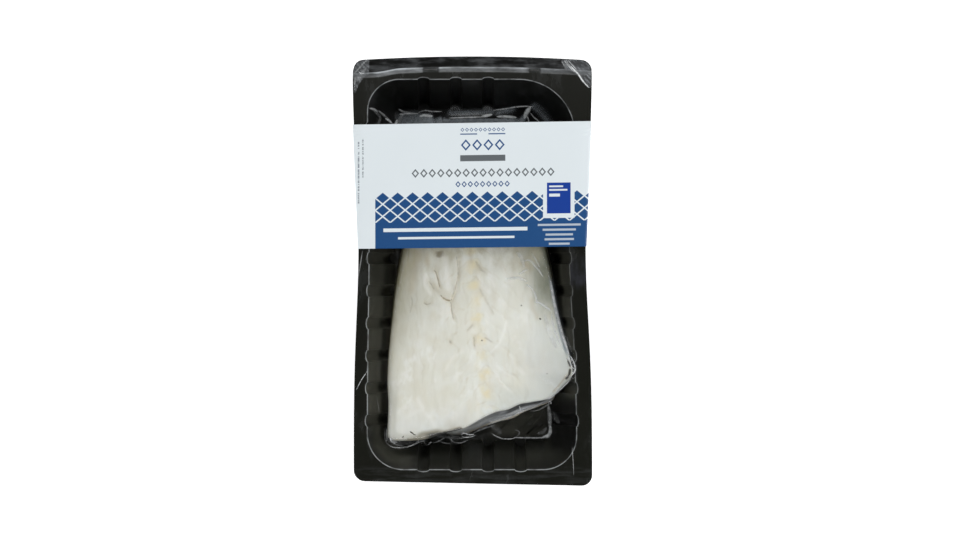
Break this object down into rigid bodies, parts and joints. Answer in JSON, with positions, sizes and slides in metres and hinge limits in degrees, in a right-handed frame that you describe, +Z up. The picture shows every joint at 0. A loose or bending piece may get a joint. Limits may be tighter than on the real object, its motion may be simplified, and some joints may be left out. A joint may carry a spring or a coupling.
{
  "type": "salt cod fillet pack",
  "caption": "Thick white salt cod fillet, cut slantwise, lying in a black fluted tray under clear skin film, with a card sleeve band around the upper part.",
  "frame": {"origin": "on the surface that the pack lies on, under the middle of its box", "axes": "+Z up out of the tray's open side, +Y along the tray towards its peel lip, +X to the right seen from above with the lip at the top"},
  "size_m": [0.1478, 0.2649, 0.0323],
  "materials": {
    "tray_plastic": "black thermoformed plastic, satin on the flange and glossier in the cavity",
    "cod_flesh": "moist white fish flesh with cream patches along the middle line",
    "clear_film": "clear stretched skin film with creases",
    "card": "coated white card with a plain blue printed pattern"
  },
  "bodies": {
    "root": {"tray": "tray_plastic", "fillet": "cod_flesh", "film": "clear_film", "sleeve": "card"}
  },
  "joints": []
}
